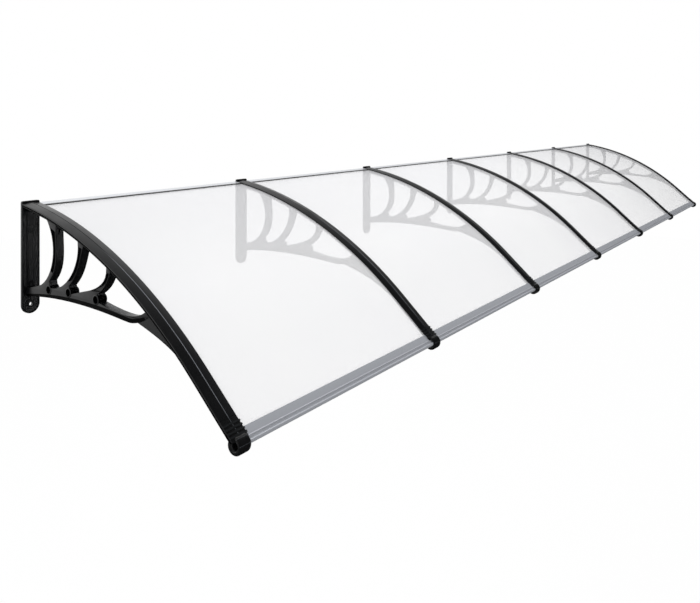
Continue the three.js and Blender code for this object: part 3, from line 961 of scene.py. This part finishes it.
def makeRearRail():
    back = -fitGap
    inner = back - rearRail["skin"]
    under = -roof["sheet"] - fitGap
    corners = [
        roofPoint(back, under - rearRail["skin"]),
        roofPoint(back, fitGap + rearRail["skin"]),
        roofPoint(-rearRail["band"], fitGap + rearRail["skin"]),
        roofPoint(-rearRail["band"], fitGap),
        roofPoint(inner, fitGap),
        roofPoint(inner, under),
        roofPoint(-rearRail["lip"], under),
        roofPoint(-rearRail["lip"], under - rearRail["skin"]),
    ]
    length = bayWidth - 2 * rib["capHalf"] * (1 + rib["taper"]) - 2 * fitGap
    materials = [rearAluminium, bracketPlastic]
    piece = solid(acrossX(roundCorners(corners, rearRail["edge"]), length), "rear rail", materials)
    # painted shadow: a black strip along the band's front edge stands in for the shadow line between rail
    # and sheet
    rear = -rearRail["band"] + rearRail["shadowStripIn"]
    front = rear - rearRail["shadowStripDepth"]
    top = fitGap + rearRail["shadowStripHeight"]
    section = [roofPoint(y, n) for y, n in ((rear, fitGap), (rear, top), (front, top), (front, fitGap))]
    shadowStrip = solid(acrossX(roundCorners(section, rearRail["shadowStripEdge"]), length), "shadowStrip", materials)
    for polygon in shadowStrip.data.polygons:
        polygon.material_index = 1
    boolean(piece, [shadowStrip], "UNION")
    finishMesh(piece)
    return piece


putCopies(makeFrontRail(), "front_rail", bays)
putCopies(makeSheet(), "sheet", bays)
putCopies(makeRearRail(), "rear_rail", bays)


# End caps: a collar that goes on as the rib does, and a barrel round the end of the rails

cap = {
    "barrelRadius": 19.6 * mm,
    "barrelHalf": 17.5 * mm,
    "barrelCentre": 2 * mm,
    "barrelRound": 6 * mm,
    "fromRail": 26 * mm,
    "belowSheet": 9.5 * mm,
    "dish": 0.8 * mm,
    "dishRadius": 10 * mm,
    "collarEnd": 22 * mm,    # from the rail's upper edge
    "firstRib": -14.7 * mm,
    "ribs": 4,
    "ribPitch": 9 * mm,
    "ribWidth": 4 * mm,
    "ribHeight": 1.8 * mm,
    "ribInset": -0.6 * mm,
    "seams": (105, 56),      # degrees round the barrel, the slope behind it is 180
    "seamWidth": 0.9 * mm,
    "seamLength": 34 * mm,
    "roomLength": 40 * mm,
    "intoWeb": 0.1 * mm,     # the rails' room starts inside the web's face
    "ribSunk": 1 * mm,
    "steps": 72,             # round the barrel
    "roundSteps": 12,        # of its rounded edges
}
capMaterials = [capPlastic, capHighlightPlastic, capRibHighlightPlastic]


def barrelProfile():
    # from the left end to the right one, each end with a shallow dish
    radius = cap["barrelRound"]
    shoulder = cap["barrelRadius"] - radius
    half = [(cap["barrelHalf"] - cap["dish"], 0), (cap["barrelHalf"] - cap["dish"], cap["dishRadius"]),
            (cap["barrelHalf"], cap["dishRadius"] + cap["dish"])]
    for k in range(cap["roundSteps"] + 1):
        angle = math.radians(90 * k / cap["roundSteps"])
        half.append(onCircle((cap["barrelHalf"] - radius, shoulder), radius, angle))
    return [(cap["barrelCentre"] + x, r) for x, r in [(-x, r) for x, r in half] + half[::-1]]


def railRoom():
    # the front rail's section with room round it: the bead below, the band above
    wide = rail["band"] - rail["skin"] - fitGap
    top = bandTop + fitGap
    high = bandTop + rail["ridge"] + fitGap
    low = bandBottom - fitGap
    radius = rail["beadRadius"] + fitGap
    first = math.pi - math.asin((low - bead[1]) / radius)
    last = 3 * math.pi - math.asin((high - bead[1]) / radius)
    points = [(-fitGap, low)]
    for k in range(rail["beadSteps"] + 1):
        points.append(onCircle(bead, radius, first + (last - first) * k / rail["beadSteps"]))
    points += [(wide, high), (wide, top), (-fitGap, top)]
    return [railFrame(s, n) for s, n in points]


def makeCollarRib(s):
    # a low rib across the collar's top
    y = railFrame(s - cap["ribWidth"] / 2, 0)[0]
    half = rib["capHalf"] - cap["ribInset"]
    low = rib["capCorner"][1]
    top = low + cap["ribHeight"]
    section = [(-half, low - cap["ribSunk"]), (half, low - cap["ribSunk"]), (half, top),
               (0, rib["creaseTop"] + cap["ribHeight"]), (-half, top)]
    end = y - cap["ribWidth"] * math.cos(roof["slopeAtFront"])
    piece = solid(sweepRoof(roundCorners(section, rib["edge"]), y, end), "collar rib", capMaterials)
    # the rib takes the paler painted-light material
    for polygon in piece.data.polygons:
        polygon.material_index = 2
    return piece


def makeEndCap():
    start = -roof["ribEnd"] - fitGap
    end = railFrame(cap["collarEnd"], 0)[0]
    body = solid(sweepRoof(ribSection(), start, end), "collar", capMaterials)
    # the collar's crease takes the painted highlight material
    paintCrease(body)
    centre = railFrame(cap["fromRail"], -cap["belowSheet"])
    barrel = solid(turned(barrelProfile(), *centre, steps=cap["steps"]), "barrel", capMaterials)
    ribs = [makeCollarRib(cap["firstRib"] + k * cap["ribPitch"]) for k in range(cap["ribs"])]
    seams = []
    for degrees in cap["seams"]:
        middle = (cap["fromRail"], -cap["belowSheet"])
        out = onCircle(middle, cap["barrelRadius"], math.radians(degrees))
        half = cap["seamWidth"] / 2
        corners = ((-1, 0), (0, -1), (1, 0), (0, 1))
        outline = [railFrame(out[0] + half * s, out[1] + half * n) for s, n in corners]
        seams.append(solid(acrossX(outline, cap["seamLength"]), "seam", capMaterials))
        # the seam ridges take the same pale painted highlight colour
        for polygon in seams[-1].data.polygons:
            polygon.material_index = 1
    boolean(body, [barrel, *ribs, *seams], "UNION")
    rooms = []
    for side in (-1, 1):
        room = acrossX(railRoom(), cap["roomLength"])
        away = side * (rail["web"] / 2 - cap["intoWeb"] + cap["roomLength"] / 2)
        bmesh.ops.translate(room, verts=room.verts, vec=(away, 0, 0))
        rooms.append(solid(room, "room", capMaterials))
    boolean(body, rooms, "DIFFERENCE")
    finishMesh(body)
    return body


putCopies(makeEndCap(), "end_cap", bays + 1)
